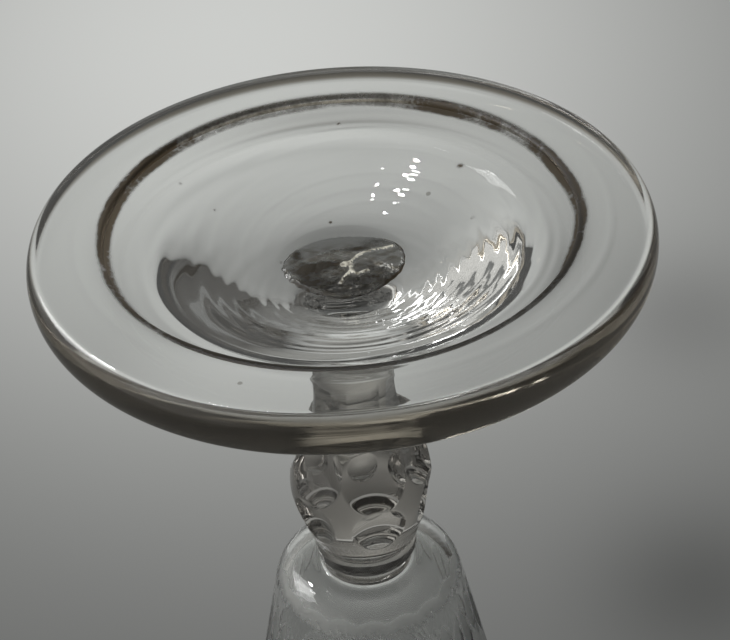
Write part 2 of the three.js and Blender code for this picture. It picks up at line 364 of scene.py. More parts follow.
# %% Lamps
# Name, place, height that it faces on the axis and size, in mm, power in W, and if glass mirrors it.
LAMPS = [
    ("overhead", (-350, -250, 900), 60, (700, 700), 9, False),
    ("window pane", (-390.7, -155.9, -272), 5, (105, 260), 0.34, True),
    ("window pane", (-349.3, -234.1, -272), 5, (105, 260), 0.34, True),
    ("ceiling lamp", (-138, -207, -455), 5, (15, 15), 0.1, True),
    ("ceiling lamp", (-115, -225, -460), 5, (10, 10), 0.04, True),
    ("ceiling lamp", (-92, -142, -485), 5, (8, 8), 0.025, True),
    ("wall lamp", (-264, -259, -406), 5, (44, 44), 0.3, True),
    ("fill", (120, 520, -420), 5, (500, 500), 2.6, False),
]


def area_lamp(name, place, aim_height, size, power, mirrored):
    """A rectangular lamp, turned to face a point on the axis of the glass."""
    data = bpy.data.lights.new(name, "AREA")
    data.shape = "RECTANGLE"
    data.size, data.size_y = size[0] * MM, size[1] * MM
    data.energy = power
    lamp = bpy.data.objects.new(name, data)
    scene.collection.objects.link(lamp)
    toward = (Vector((0, 0, aim_height)) - Vector(place)).to_track_quat("-Z", "Y")
    lamp.matrix_world = Matrix.Translation(Vector(place) * MM) @ toward.to_matrix().to_4x4()
    lamp.visible_camera = False
    lamp.visible_transmission = lamp.visible_glossy = mirrored


for lamp in LAMPS:
    area_lamp(*lamp)

# %% [markdown]
# ## From a profile to a mesh
#
# Every piece was turned, so each is a grid: one direction runs along a profile of radius and height
# and the other runs round the axis. A function of the two then adds what isn't round: flats, cuts,
# ripples and engraving. Working the grid out as whole arrays keeps this quick and easy to read.

# %% Curves of a profile
POLE_RADIUS = 0.4


def line(start, end, steps):
    """Points on a straight line, both ends included."""
    return start + np.linspace(0, 1, steps + 1)[:, None] * (np.array(end, float) - start)


def arc(centre, reach, start, end, steps):
    """Points on part of an ellipse: centre + (a cos t, b sin t)."""
    angle = np.linspace(start, end, steps + 1)
    return np.stack([centre[0] + reach[0] * np.cos(angle), centre[1] + reach[1] * np.sin(angle)], 1)


def bend(start, control, end, steps):
    """A quadratic curve: (1-t)^2 a + 2t(1-t) b + t^2 c."""
    t = np.linspace(0, 1, steps + 1)[:, None]
    return (1 - t) ** 2 * np.array(start) + 2 * t * (1 - t) * np.array(control) + t**2 * np.array(end)


def through(knots, steps):
    """A Catmull-Rom curve through some points, with the end points' neighbours mirrored."""
    knots = np.array(knots, float)
    knots = np.vstack([2 * knots[0] - knots[1], knots, 2 * knots[-1] - knots[-2]])
    position = np.linspace(0, len(knots) - 3, steps + 1)
    index = np.minimum(position.astype(int), len(knots) - 4)
    t = (position - index)[:, None]
    a, b, c, d = (knots[index + k] for k in range(4))
    curve = 2 * b + (c - a) * t + (2 * a - 5 * b + 4 * c - d) * t**2
    return 0.5 * (curve + (3 * b - a - 3 * c + d) * t**3)


def joined(*curves):
    """Several curves end to end, with the shared points written once."""
    kept = [np.asarray(curves[0])]
    for curve in curves[1:]:
        shared = np.allclose(kept[-1][-1], curve[0], atol=1e-6)
        kept.append(np.asarray(curve)[1:] if shared else np.asarray(curve))
    return np.vstack(kept)


def marked(*curves):
    """Curves end to end as one profile, and the number of each one's last point in it."""
    return joined(*curves), np.cumsum([len(curves[0])] + [len(curve) - 1 for curve in curves[1:]]) - 1


def spread(curve, spacing):
    """The same curve with its points evenly spaced along its length."""
    length = np.concatenate([[0], np.cumsum(np.linalg.norm(np.diff(curve, axis=0), axis=1))])
    places = np.linspace(0, length[-1], max(2, round(length[-1] / spacing) + 1))
    return np.stack([np.interp(places, length, curve[:, k]) for k in range(2)], 1)


# %% [markdown]
# The grid becomes a mesh in one go. Rows are rings round the axis. The first and last rows close in
# a fan of triangles to a point in their middle, or, where the profile closes on itself, the last row
# joins the first. Faces turn outwards when the profile runs out along the bottom and back over the top.

# %% Mesh from a grid
SHARP_ANGLE = math.radians(40)
JOINT_GAP = 0.01


def turn(profile, columns):
    """Radius, height and angle of every grid point, each rows x columns."""
    angle = np.linspace(0, 2 * np.pi, columns, endpoint=False)
    radius, rim = np.meshgrid(profile[:, 0], angle, indexing="ij")
    height = np.repeat(profile[:, 1:2], columns, axis=1)
    return radius, height, rim


def grid_faces(rows, columns, closes_on_itself):
    """Quads between neighbouring rings, and fans to two poles unless the profile closes on itself."""
    count = rows if closes_on_itself else rows - 1
    row, column = np.meshgrid(np.arange(count), np.arange(columns), indexing="ij")
    above, beside = (row + 1) % rows, (column + 1) % columns
    quads = np.stack([
        row * columns + column,
        row * columns + beside,
        above * columns + beside,
        above * columns + column,
    ], 2).reshape(-1, 4)
    if closes_on_itself:
        return quads, np.zeros((0, 3), int)
    first = np.arange(columns)
    beside = (first + 1) % columns
    low_pole, high_pole = rows * columns, rows * columns + 1
    last = (rows - 1) * columns
    low = np.stack([np.full(columns, low_pole), beside, first], 1)
    high = np.stack([np.full(columns, high_pole), last + first, last + beside], 1)
    return quads, np.vstack([low, high])


def grid_piece(name, radius, height, angle, closes_on_itself=False):
    """A smooth closed mesh object from polar grid arrays in mm."""
    rows, columns = radius.shape
    points = np.stack([radius * np.cos(angle), radius * np.sin(angle), height], 2)
    flat = points.reshape(-1, 3)
    if not closes_on_itself:
        flat = np.vstack([flat, points[0].mean(0), points[-1].mean(0)])
    quads, fans = grid_faces(rows, columns, closes_on_itself)
    corners = np.concatenate([quads.ravel(), fans.ravel()])
    sizes = np.concatenate([np.full(len(quads), 4), np.full(len(fans), 3)])
    mesh = bpy.data.meshes.new(name)
    mesh.vertices.add(len(flat))
    mesh.vertices.foreach_set("co", (flat * MM).astype(np.float32).ravel())
    mesh.loops.add(len(corners))
    mesh.loops.foreach_set("vertex_index", corners.astype(np.int32))
    mesh.polygons.add(len(sizes))
    mesh.polygons.foreach_set("loop_start", np.concatenate([[0], np.cumsum(sizes)[:-1]]).astype(np.int32))
    mesh.update(calc_edges=True)
    mesh.validate()
    mesh.polygons.foreach_set("use_smooth", np.ones(len(sizes), bool))
    mesh.set_sharp_from_angle(angle=SHARP_ANGLE)
    piece = bpy.data.objects.new(name, mesh)
    scene.collection.objects.link(piece)
    return piece


# %% [markdown]
# Some small jobs come back at every piece. Two fused pieces would share a face, so each is drawn back
# by half of a hair's gap, and the faces there get a material of their own. Numbers such as how dirty
# a place is are stored with the mesh. All unevenness is made of waves, soft steps and hills.

# %% Joints, stored numbers and unevenness
def draw_back(height, first, last, side):
    """Moves a joint's rings off the neighbour by half the gap; side is 1 on top and -1 below."""
    height[first:last + 1] -= side * JOINT_GAP / 2


def paint_faces(piece, rows, columns, joint_rows, joint_poles=()):
    """Gives the second material to the rows of faces that are fused to a neighbour, and to its poles."""
    quads = rows * columns
    which = np.zeros(len(piece.data.polygons), np.int32)
    for first, last in joint_rows:
        which[first * columns:last * columns] = 1
    if "low" in joint_poles:
        which[quads:quads + columns] = 1
    if "high" in joint_poles:
        which[quads + columns:] = 1
    piece.data.polygons.foreach_set("material_index", which)


def give_values(piece, name, values):
    """Stores a number for each grid point, for a material to read; poles get their ring's mean."""
    flat = values.ravel()
    spare = len(piece.data.vertices) - flat.size
    if spare:
        flat = np.concatenate([flat, [values[0].mean(), values[-1].mean()]])
    attribute = piece.data.attributes.new(name, "FLOAT", "POINT")
    attribute.data.foreach_set("value", flat.astype(np.float32))


def waves(angle, along, seed, count, turns, pitch):
    """A sum of sine waves with seeded phases, whole numbers of them round the axis, scaled to about 1."""
    random = np.random.default_rng(seed)
    total = np.zeros(np.broadcast(angle, along).shape)
    for _ in range(count):
        around = random.integers(turns[0], turns[1] + 1)
        length = random.uniform(*pitch)
        total += np.sin(around * angle + 2 * np.pi * (along / length + random.random()))
    return total / math.sqrt(count)


def soft_step(value, low, high):
    """0 below low, 1 above high, 3t^2 - 2t^3 between."""
    t = np.clip((value - low) / (high - low), 0, 1)
    return t * t * (3 - 2 * t)


def hill(distance, width):
    """exp(-(d/w)^2): 1 where the distance is 0 and next to nothing two widths away."""
    return np.exp(-((distance / width) ** 2))


# %% [markdown]
# ## Glass
#
# Old soda glass is clear with a faint grey tint. Its surface carries hair scratches and its body
# carries seeds, which are small bubbles. A few hundredths of the light are scattered as by a plain
# pale surface, and that share is what the clarity leaves. The thick glass of the stem is tinted more
# deeply, partly because a look through it is a long one and partly as painted shade that darkens the
# whole stem. The snapped face carries a thin brown film, and creases and hollows carry grime. The
# outer edge of the foot is worn a little rough, and its brown tint is painted shade for the dark look
# through the thick rounded edge. Along the ridge of the break the glass is painted pale, a painted
# highlight for the glint of the ridge. Where two gathers were joined hot there is no surface at all,
# so the faces there are fully see-through.

# %% Shared effects
def new_group(name, numbers, outputs):
    """A shader group that takes a place and some numbers, with their defaults, and gives numbers."""
    group = bpy.data.node_groups.new(name, "ShaderNodeTree")
    new_socket = group.interface.new_socket
    new_socket("Vector", in_out="INPUT", socket_type="NodeSocketVector")
    for label, value in numbers.items():
        new_socket(label, in_out="INPUT", socket_type="NodeSocketFloat").default_value = value
    for label in outputs:
        new_socket(label, in_out="OUTPUT", socket_type="NodeSocketFloat")
    start, end = add_node(group, "NodeGroupInput"), add_node(group, "NodeGroupOutput")
    return group, start.outputs, end.inputs


def noise(tree, vector, scale, detail=2.0):
    """Noise from 0 to 1."""
    node = add_node(tree, "ShaderNodeTexNoise")
    for label, value in (("Vector", vector), ("Scale", scale), ("Detail", detail)):
        feed(tree, node.inputs[label], value)
    return node.outputs["Fac"]


def scratch_group():
    """Roughness of a surface with hair scratches, which run one way and lie in patches."""
    defaults = {"Scratch Scale": 900.0, "Least Roughness": 0.0, "Most Roughness": 0.05}
    group, given, made = new_group("hair_scratches", defaults, ["Roughness"])
    stretched = vector_calc(group, "MULTIPLY", given["Vector"], (1.0, 0.12, 0.4))
    hair = ramp(group, noise(group, stretched, given["Scratch Scale"]), 0.66, 0.74)
    patches = ramp(group, noise(group, given["Vector"], 120.0), 0.5, 0.75)
    scratched = calc(group, "MULTIPLY", hair, patches)
    rough = blend(group, scratched, given["Least Roughness"], given["Most Roughness"], "FLOAT")
    feed(group, made["Roughness"], rough)
    return group


def seed_group():
    """Small bubbles in the glass: a mask that is 1 in a seed."""
    group, given, made = new_group("seeds", {"Seed Scale": 150.0}, ["Mask"])
    cells = add_node(group, "ShaderNodeTexVoronoi")
    feed(group, cells.inputs["Vector"], given["Vector"])
    feed(group, cells.inputs["Scale"], given["Seed Scale"])
    few = ramp(group, noise(group, given["Vector"], 90.0), 0.6, 0.64)
    inside = ramp(group, cells.outputs["Distance"], 0.07, 0.04)
    feed(group, made["Mask"], calc(group, "MULTIPLY", inside, few))
    return group


def grime_group():
    """Brown dirt where a piece's own grime value says, with a ragged edge: a mask from 0 to 1."""
    group, given, made = new_group("grime", {"Amount": 0.0}, ["Mask"])
    coarse = noise(group, given["Vector"], 320.0, 4.0)
    fine = noise(group, given["Vector"], 1900.0, 2.0)
    broken = calc(group, "MULTIPLY_ADD", fine, 0.6, calc(group, "MULTIPLY", coarse, 1.1))
    level = calc(group, "MULTIPLY", given["Amount"], broken)
    feed(group, made["Mask"], ramp(group, level, 0.1, 0.75))
    return group


scratches = scratch_group()
seeds = seed_group()
grime = grime_group()
print("groups:", [g.name for g in bpy.data.node_groups])

# %% Glass materials
GLASS_INDEX = 1.5
STEM_CLARITY = 0.955
FOOT_CLARITY = 0.985
BOWL_CLARITY = 0.97
GLASS_TINT = (0.965, 0.975, 0.965)
# The stem's deep tint is partly the long look through thick glass and partly painted shade that darkens
# the whole stem.
THICK_GLASS_AND_SHADE_TINT = (0.45, 0.43, 0.40)
SEED_TINT = (0.35, 0.34, 0.31)
# The film's brown is dirt on the scar and painted shade on the outer edge of foot and fold.
FILM_AND_SHADE_TINT, FILM_ROUGHNESS = (0.26, 0.215, 0.15), 0.09
GRIME_TINT, GRIME_ROUGHNESS = (0.028, 0.018, 0.009), 0.45
FROST_ROUGHNESS = 0.42
FROST_GRAIN = 0.3
FROST_EDGE = (0.43, 0.57)
# A painted highlight on the scar's ridge: pale grainy colour for its glint.
RIDGE_GLINT_DARK, RIDGE_GLINT_LIGHT = (0.12, 0.108, 0.08), (0.74, 0.72, 0.63)
RIDGE_GLINT_GRAIN = (0.36, 0.58)
RIDGE_GLINT_ROUGHNESS = 0.5


def effect(tree, group, **values):
    """A shader group in a material, with its inputs filled in."""
    node = add_node(tree, "ShaderNodeGroup", node_tree=group)
    for label, value in values.items():
        feed(tree, node.inputs[label], value)
    return node.outputs[0]


def stored(tree, name):
    """A number that the mesh stores for each of its points."""
    return add_node(tree, "ShaderNodeAttribute", attribute_name=name).outputs["Fac"]


def glass_material(name, clarity, tint=GLASS_TINT, frosted=False, dirt_and_shade=False):
    """Clear glass with scratches and seeds, and frost, dirt and painted shade where the piece has those
    values.
    """
    material, tree = new_material(name)
    shader = tree.nodes["Principled BSDF"]
    shader.inputs["Metallic"].default_value = 0
    shader.inputs["Transmission Weight"].default_value = clarity
    shader.inputs["IOR"].default_value = GLASS_INDEX
    place = add_node(tree, "ShaderNodeTexCoord").outputs["Object"]
    rough = effect(tree, scratches, Vector=place)
    colour = blend(tree, effect(tree, seeds, Vector=place), tint, SEED_TINT)
    if frosted:
        grain = calc(tree, "MULTIPLY_ADD", noise(tree, place, 1500.0), FROST_GRAIN, -FROST_GRAIN / 2)
        ground = ramp(tree, calc(tree, "ADD", stored(tree, "frost"), grain), *FROST_EDGE)
        rough = blend(tree, ground, rough, FROST_ROUGHNESS, "FLOAT")
    if dirt_and_shade:
        dirt = effect(tree, grime, Vector=place, Amount=stored(tree, "grime"))
        # On the outer edge of foot and fold, the film's brown is painted shade.
        film_and_shade = (stored(tree, "film_and_shade"), FILM_AND_SHADE_TINT, FILM_ROUGHNESS)
        for share, stain, roughness in (film_and_shade, (dirt, GRIME_TINT, GRIME_ROUGHNESS)):
            colour = blend(tree, share, colour, stain)
            rough = blend(tree, share, rough, roughness, "FLOAT")
    feed(tree, shader.inputs["Base Color"], colour)
    feed(tree, shader.inputs["Roughness"], rough)
    return material


def fused_material():
    """A face that light crosses unchanged, for the joints between gathers."""
    material, tree = new_material("fused_joint")
    shader = tree.nodes["Principled BSDF"]
    shader.inputs["Base Color"].default_value = (1, 1, 1, 1)
    shader.inputs["Alpha"].default_value = 0
    return material


def ridge_glint_material():
    """Pale grainy colour along the ridge of a break: a painted highlight for the ridge's glint."""
    material, tree = new_material("painted_ridge_glint")
    shader = tree.nodes["Principled BSDF"]
    grain = noise(tree, add_node(tree, "ShaderNodeTexCoord").outputs["Object"], 900.0, 3.0)
    colour = blend(tree, ramp(tree, grain, *RIDGE_GLINT_GRAIN), RIDGE_GLINT_DARK, RIDGE_GLINT_LIGHT)
    feed(tree, shader.inputs["Base Color"], colour)
    shader.inputs["Roughness"].default_value = RIDGE_GLINT_ROUGHNESS
    return material


dirty_shaded_glass = glass_material("dirty_shaded_glass", FOOT_CLARITY, dirt_and_shade=True)
engraved_glass = glass_material("engraved_glass", BOWL_CLARITY, frosted=True)
# Its deep tint is partly painted shade.
thick_glass = glass_material("thick_glass", STEM_CLARITY, tint=THICK_GLASS_AND_SHADE_TINT)
fused = fused_material()
ridge_glint = ridge_glint_material()


def finish_piece(piece, node, slot, *materials):
    """Gives a piece its materials, hangs it under the root body and hides the imported node it stands
    for.
    """
    for material in materials:
        piece.data.materials.append(material)
    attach(piece, "root")
    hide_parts(node)
    print(f"{piece.name}: {len(piece.data.vertices)} points, {len(piece.data.polygons)} faces")


# %% [markdown]
# ## The foot
#
# The foot was a bubble of glass, opened, spun and pressed into a shallow dish. Its upper side starts
# nearly flat at the rim and turns up into a steep cone below the stem. That cone is what mirrors the
# room from inside, so its slope matters more than its height. Here the slope is the thing that is
# drawn, and adding it up gives the heights.

# %% Foot sizes
FOOT_RADIUS = 42
FOOT_TOP_RADIUS = 6.6
RIM_THICKNESS = 6.2
RIM_ROUNDING = 1.8
FOLD_WIDTH = 10.5
FOLD_THICKNESS = 1.4
FOLD_LIP = 0.8
KICK_HEIGHT = 8.3
SCAR_SEAT_RADIUS = 9.2
# Share of the way inwards and slope in degrees there, of the foot's top and of its underside.
TOP_SLOPES = [
    (0, 0), (0.214, 0.5), (0.289, 1.5), (0.333, 5), (0.369, 13), (0.408, 28), (0.452, 42), (0.527, 50),
    (0.631, 49), (0.75, 42), (0.869, 35), (0.929, 38), (0.964, 55), (0.988, 70), (1, 74),
]
KICK_SLOPES = [
    (0, 8), (0.165, 10), (0.316, 14), (0.489, 20),
    (0.662, 22), (0.835, 20), (0.965, 13), (1, 9),
]
FOOT_COLUMNS = 400
FOOT_SPACING = 0.34

neck_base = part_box("foot")[1].z / MM
rim_centre = (FOOT_RADIUS - RIM_ROUNDING, RIM_THICKNESS / 2)
rim_reach = (RIM_ROUNDING, RIM_THICKNESS / 2)
weld_angle = math.asin((FOLD_THICKNESS - rim_centre[1]) / rim_reach[1])
fold_inner = FOOT_RADIUS - FOLD_WIDTH
weld_inner = (fold_inner + FOLD_LIP, FOLD_THICKNESS)


def climbed(start, end, slopes, steps):
    """A curve between two points whose slope in degrees is listed by the share of the way inwards."""
    knots = through(slopes, 20 * len(slopes))
    share = np.linspace(0, 1, steps + 1)
    steepness = np.tan(np.radians(np.interp(share, knots[:, 0], knots[:, 1])))
    rise = np.concatenate([[0], np.cumsum((steepness[1:] + steepness[:-1]) / 2)])
    radius = start[0] + (end[0] - start[0]) * share
    return np.stack([radius, start[1] + (end[1] - start[1]) * rise / rise[-1]], 1)


def foot_profile():
    """Scar seat, kicked-up underside, weld to the fold, round rim, top and disc under the stem."""
    seat_edge = (SCAR_SEAT_RADIUS, KICK_HEIGHT)
    seat = line((POLE_RADIUS, KICK_HEIGHT), seat_edge, 6)
    kick = spread(climbed(weld_inner, seat_edge, KICK_SLOPES, 300)[::-1], FOOT_SPACING)
    rim = arc(rim_centre, rim_reach, weld_angle, math.pi / 2, 26)
    weld = line(weld_inner, rim[0], 6)
    top = spread(climbed(rim[-1], (FOOT_TOP_RADIUS, neck_base), TOP_SLOPES, 400), FOOT_SPACING)
    disc = line(top[-1], (POLE_RADIUS, neck_base), 4)
    profile, ends = marked(seat, kick, weld, rim, top, disc)
    return profile, dict(zip(("seat", "kick", "weld", "rim", "top", "disc"), ends))


# %% [markdown]
# The hand-made surface comes on top: rings that the tool left on the underside, ripples on the cone,
# brown dirt in the crease beside the fold, a few dark flecks and a worn edge with painted brown shade.

# %% Marks on the foot
TOOL_RINGS = [(11.6, 0.5), (13.8, 0.6), (16.3, 1.0), (18.4, 0.4), (20.2, 0.8), (22.6, 0.7), (24.3, 0.5)]
RING_CENTRE = (2.6, -1.6)
RING_HEIGHT = 0.045
RING_WIDTH = 0.22
UNDERSIDE_RIPPLE = 0.006
CONE_CENTRE = (1.0, 0.6)
# Height in mm, then what waves() asks for: seed, number of waves, turns round the axis, pitch in mm.
CONE_RIPPLES = [
    (0.03, 31, 6, (0, 4), (1.4, 4.2)),
    (0.006, 33, 8, (3, 12), (1.2, 3.5)),
    (0.0012, 32, 12, (9, 36), (2.5, 9)),
]
CREASE_RADIUS = 31.7
CREASE_WIDTH = 0.92
CREASE_AMOUNT = 1.05
# Radius in mm, turn in degrees from the camera's side, and size in mm.
SPECKS = [
    (27.3, 178, 0.3), (23, 130, 0.5), (26.4, -123, 0.25),
    (20, -120, 0.22), (10.2, -172, 0.28), (36, 40, 0.3),
]
SPECK_AMOUNT = 1.2


def beside(radius, angle, centre):
    """Distance of each grid point from an upright line beside the axis."""
    return np.hypot(radius * np.cos(angle) - centre[0], radius * np.sin(angle) - centre[1])


def underside_marks(radius, angle):
    """Tool rings about a point beside the axis, and ripples that fade towards the scar and the fold."""
    distance = beside(radius, angle, RING_CENTRE)
    rings = sum(share * hill(distance - ring, RING_WIDTH) for ring, share in TOOL_RINGS)
    ripples = UNDERSIDE_RIPPLE * waves(angle, distance, 21, 6, (0, 3), (2, 5))
    ripples *= soft_step(radius, 9.5, 12) * (1 - soft_step(radius, 28, 31))
    return RING_HEIGHT * rings * (0.6 + 0.4 * np.sin(angle + 2)) + ripples


def cone_marks(radius, angle):
    """Ripples that break up what the cone mirrors: long, leaning and short ones, less on the far side."""
    distance = beside(radius, angle, CONE_CENTRE)
    ripples = sum(height * waves(angle, distance, *shape) for height, *shape in CONE_RIPPLES)
    inner_fade = soft_step(radius, FOOT_TOP_RADIUS + 0.5, FOOT_TOP_RADIUS + 3)
    near_side = 0.35 + 0.65 * soft_step(np.sin(angle), -0.5, 0.15)
    return ripples * inner_fade * (1 - soft_step(radius, 27, 33)) * near_side


def crease_dirt(radius, angle):
    """Dirt in the crease, a band under 2 mm wide, uneven on its way round and halved on the far side."""
    amount = CREASE_AMOUNT + 0.2 * waves(angle, 0, 11, 6, (1, 9), (1, 2))
    amount *= 1 - 0.5 * hill(np.cos(angle), 0.5) * (np.sin(angle) < 0)
    shifted = CREASE_RADIUS + 0.12 * waves(angle, 0, 12, 5, (2, 14), (1, 2))
    return amount * np.exp(-np.abs((radius - shifted) / CREASE_WIDTH) ** 3)


def specks(radius, angle):
    """Small dark flecks of dirt."""
    total = 0
    for reach, turned, size in SPECKS:
        around = math.pi / 2 - math.radians(turned)
        off = beside(radius, angle, (reach * math.cos(around), reach * math.sin(around)))
        total = total + SPECK_AMOUNT * hill(off, size)
    return total


def rim_wear_and_shade(radius):
    """Wear and painted brown shade on the outer edge: none 1.5 mm in from it, complete on the last half
    millimetre.
    """
    return soft_step(radius, FOOT_RADIUS - 1.5, FOOT_RADIUS - 0.5)


# %% [markdown]
# The profile is turned into a grid and the marks are added to its heights. The rings that touch the
# scar, the fold and the neck are drawn back. Dirt lies on the underside alone.

# %% Foot
profile, marks = foot_profile()
rows = len(profile) - 1
radius, height, angle = turn(profile, FOOT_COLUMNS)
below, above = slice(marks["seat"] + 1, marks["kick"] - 1), slice(marks["rim"] + 1, marks["top"] - 1)
height[below] += underside_marks(radius[below], angle[below])
height[above] += cone_marks(radius[above], angle[above])
draw_back(height, 0, marks["seat"], -1)
draw_back(height, marks["kick"], marks["weld"] - 1, -1)
draw_back(height, marks["top"], rows, 1)
foot = grid_piece("turned_foot", radius, height, angle)
paint_faces(foot, rows, FOOT_COLUMNS, [(marks["kick"], marks["weld"]), (marks["top"], rows)], ["high"])
dirt = crease_dirt(radius, angle) + specks(radius, angle)
dirt[marks["weld"]:] = 0
give_values(foot, "grime", dirt)
# The brown on the outer edge is painted shade.
give_values(foot, "film_and_shade", rim_wear_and_shade(radius))
finish_piece(foot, "foot", "foot_glass", dirty_shaded_glass, fused)
climb = np.diff(profile[marks["rim"]:marks["top"]], axis=0)
steepest = math.degrees(math.atan(np.max(-climb[:, 1] / climb[:, 0])))
print("steepest slope of the cone in degrees:", round(steepest, 1))

# %% [markdown]
# ## The fold
#
# The edge of the disc was turned under while soft. It stands on the table on a narrow ring and hides
# a crease at its inner edge, where two centuries of washing up have left brown dirt.

# %% Fold
FOLD_RISE_WIDTH = 2.6
LIP_UNEVENNESS = 0.18
GROOVE_CENTRE = (0.3, -0.4)
GROOVE_RADIUS = 35.6
GROOVE_WIDTH = 0.35
GROOVE_DEPTH = 0.05


def fold_profile():
    """The foot's underside edge: flat rest, round outside, weld to the foot and a blunt inner lip."""
    rest_inner = (fold_inner + FOLD_RISE_WIDTH, 0)
    nose = (fold_inner, FOLD_THICKNESS / 2)
    outside = arc(rim_centre, rim_reach, -math.pi / 2, weld_angle, 16)
    profile, ends = marked(
        line(rest_inner, (rim_centre[0], 0), 14),
        outside,
        line(outside[-1], weld_inner, 20),
        bend(weld_inner, (fold_inner, FOLD_THICKNESS), nose, 10),
        bend(nose, (fold_inner, 0), rest_inner, 14),
    )
    return profile[:-1], ends


def fold_marks(radius, angle):
    """The fold's uneven width and a shallow groove where its edge was pressed down."""
    lip = LIP_UNEVENNESS * waves(angle, 0, 41, 5, (2, 7), (1, 2))
    groove = beside(radius, angle, GROOVE_CENTRE) - GROOVE_RADIUS
    pressed = GROOVE_DEPTH * hill(groove, GROOVE_WIDTH) * (0.5 + 0.5 * np.sin(2 * angle + 1))
    return lip * (1 - soft_step(radius, fold_inner, fold_inner + 2)), pressed


profile, marks = fold_profile()
radius, height, angle = turn(profile, FOOT_COLUMNS)
lip, pressed = fold_marks(radius, angle)
height += pressed * (height < 0.2)
radius += lip
draw_back(height, marks[1] + 1, marks[2], 1)
fold = grid_piece("folded_edge", radius, height, angle, closes_on_itself=True)
paint_faces(fold, len(profile), FOOT_COLUMNS, [(marks[1], marks[2])])
give_values(fold, "grime", crease_dirt(radius, angle))
# The brown on the outer edge is painted shade.
give_values(fold, "film_and_shade", rim_wear_and_shade(radius))
finish_piece(fold, "foot_fold", "fold_glass", dirty_shaded_glass, fused)
# The renderer gives clear glass a solid shadow, but real light passes through a foot.
foot.visible_shadow = fold.visible_shadow = False

# %% [markdown]
# ## The pontil scar
#
# The foot was held on an iron rod while the bowl was shaped, and it snapped off here. What is left is
# a flake with a sharp edge, hackled ridges where the break ran, and brown crust in the hollows. Its
# outline is drawn as a radius for each direction, and the ridges are bumps along lines.

# %% Scar sizes and shape
SCAR_THICKNESS = 1.2
SCAR_COLUMNS = 360
SCAR_RINGS = 110
SCAR_REACH = 8.6
# Direction in degrees and radius in mm.
SCAR_OUTLINE = [
    (-180, 8.5), (-150, 7.8), (-120, 7.0), (-90, 6.6), (-60, 7.0), (-35, 8.2), (-22, 8.6), (-8, 8.5),
    (20, 8.1), (50, 7.7), (90, 7.9), (120, 7.6), (150, 7.9), (180, 8.5),
]
PLATEAU = 0.5
RIDGE = [(6.9, -2.7), (4.2, -2.0), (2.5, -1.3), (1.3, 0.1), (0.9, 2.2), (1.7, 3.2), (3.1, 2.7)]
BRANCH = [(0.9, 2.4), (0.2, 3.4), (-0.7, 5.0)]
RIDGE_HEIGHT, RIDGE_WIDTH = 0.34, 0.32
BRANCH_HEIGHT, BRANCH_WIDTH = 0.28, 0.3
# A knot of the painted ridge highlight: its place and its radius in mm.
RIDGE_GLINT_KNOT, KNOT_RADIUS = (0.35, 0.7), 0.55
# Patches of crust: place, reach across and along, in mm, and amount.
CRUST = [
    (-5.2, 1.6, 2.2, 1.6, 1.0), (-2.4, 0.6, 2.6, 1.0, 1.1), (-6.4, -2.6, 0.8, 1.6, 0.7),
    (7.9, -3.2, 0.8, 1.4, 1.1), (-4.2, 4.4, 2.2, 1.2, 0.8), (1.6, -2.9, 3.4, 0.8, 0.8),
    (3.8, 4.3, 3.0, 1.5, 0.75), (4.6, -4.4, 2.4, 1.0, 0.7),
]


def distance_to_path(x, y, path):
    """Shortest distance from each point to a line through some points."""
    nearest = np.full(x.shape, 1e3)
    fine = through(path, 12 * len(path))
    for (ax, ay), (bx, by) in zip(fine[:-1], fine[1:]):
        run, rise = bx - ax, by - ay
        share = np.clip(((x - ax) * run + (y - ay) * rise) / (run**2 + rise**2), 0, 1)
        nearest = np.minimum(nearest, np.hypot(x - ax - share * run, y - ay - share * rise))
    return nearest


def lumps(x, y, seed, count, pitch):
    """Folded waves in all directions: |sin|, which makes sharp hollows like broken glass."""
    random = np.random.default_rng(seed)
    total = np.zeros_like(x)
    for _ in range(count):
        way, length, shift = random.uniform(0, np.pi), random.uniform(*pitch), random.uniform(0, 6)
        total += np.abs(np.sin(np.pi * (x * np.cos(way) + y * np.sin(way)) / length + shift))
    return total / count


def scar_depth(x, y, share):
    """How far the flake hangs below its seat: a plateau with a sharp edge, ridges and hackles."""
    plateau = PLATEAU * soft_step(1 - share, 0, 0.07)
    ridges = RIDGE_HEIGHT * hill(distance_to_path(x, y, RIDGE), RIDGE_WIDTH)
    ridges += BRANCH_HEIGHT * hill(distance_to_path(x, y, BRANCH), BRANCH_WIDTH)
    broken = soft_step(x + 0.5 * y, -8, -3) * soft_step(y, -4, -1)
    rough = 0.5 * lumps(x, y, 51, 5, (1.6, 4.5)) + 0.16 * lumps(x, y, 52, 7, (0.5, 1.4))
    return plateau * (0.55 + 0.9 * broken * rough) + ridges * soft_step(1 - share, 0, 0.1)


def scar_grid():
    """Rings from the middle out over the flake, then back in over the disc fused to the foot."""
    share = np.concatenate([np.linspace(0.02, 1, SCAR_RINGS), np.linspace(1, 0.02, 12)[1:]])
    around = np.linspace(0, 2 * np.pi, SCAR_COLUMNS, endpoint=False)
    share, angle = np.meshgrid(share, around, indexing="ij")
    outline = through(SCAR_OUTLINE, 20 * len(SCAR_OUTLINE))
    reach = np.interp(np.degrees((angle + np.pi) % (2 * np.pi) - np.pi), outline[:, 0], outline[:, 1])
    radius = share * np.minimum(reach + 0.07 * waves(angle, 0, 53, 8, (6, 40), (1, 2)), SCAR_REACH)
    x, y = radius * np.cos(angle), radius * np.sin(angle)
    depth = np.minimum(scar_depth(x, y, share), SCAR_THICKNESS)
    depth[SCAR_RINGS:] = 0
    return radius, KICK_HEIGHT - depth, angle, share, x, y


# %% [markdown]
# The snapped face is dirty: a brown film lies on it in patches, and crust sits in its hollows and in a
# thin line round its edge. The ridge stands out, so it is rubbed clean, and it is painted pale, a painted
# highlight for its glint.

